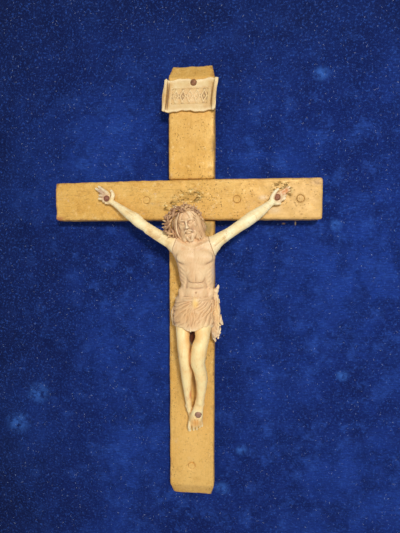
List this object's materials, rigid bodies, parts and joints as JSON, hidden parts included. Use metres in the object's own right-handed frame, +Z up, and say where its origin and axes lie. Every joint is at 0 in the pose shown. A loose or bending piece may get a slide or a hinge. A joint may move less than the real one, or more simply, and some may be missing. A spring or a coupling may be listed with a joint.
{
  "type": "wall crucifix on a velvet-covered board",
  "caption": "Gilded wooden cross with a carved bone figure, thorn crown and scroll, fixed to a velvet-covered backing board with a hanging ring.",
  "frame": {"origin": "middle of the board's back, on the plane that lies against the wall", "axes": "+X to the viewer's right, +Z up along the cross's upright, -Y towards the viewer"},
  "size_m": [0.3036, 0.0495, 0.4036],
  "materials": {
    "board_wood": "plain softwood board, unfinished on the back",
    "velvet": "deep blue cotton velvet with a worn pile, mottled, with lint and crumbs of gilding in it",
    "brass": "aged brass wire and strip, lightly tarnished",
    "steel": "plain slotted screws, dulled",
    "gilding": "water gilding on wood over gesso and red-brown bole, pitted, rubbed and cracked",
    "bone": "carved bone or ivory, polished, cream on arms and legs, pinkish tan with brown patina in the recesses",
    "stained_bone": "carved bone, stained brown, highlights rubbed pale",
    "nail": "turned nails of dark stained bone or wood, red-brown",
    "dowel": "plain wooden dowel"
  },
  "bodies": {
    "icon": {"backing_board": "board_wood", "velvet_cover": "velvet", "hanger_strap": "brass", "hanger_screw": "steel", "cross_upright": "gilding", "crossbar": "gilding", "plug_left_inner": "gilding", "plug_right_inner": "gilding", "plug_right_outer": "gilding", "plug_foot": "gilding", "cross_screw_left_inner": "steel", "cross_screw_right_inner": "steel", "cross_screw_right_outer": "steel", "cross_screw_foot": "steel", "figure_body": "bone", "figure_arm_left": "bone", "figure_arm_right": "bone", "shoulder_dowel_left": "dowel", "shoulder_dowel_right": "dowel", "hand_nail_left": "nail", "hand_nail_right": "nail", "foot_nail": "nail", "scroll_nail": "nail", "thorn_crown": "stained_bone", "title_scroll": "bone"},
    "ring": {"hanger_ring": "brass"}
  },
  "joints": [
    {"name": "ring_swing", "type": "hinge", "parent": "icon", "child": "ring", "pos_m": [0, -0.0029, 0.144], "axis": [1, 0, 0], "range_deg": [-5, 150]}
  ]
}
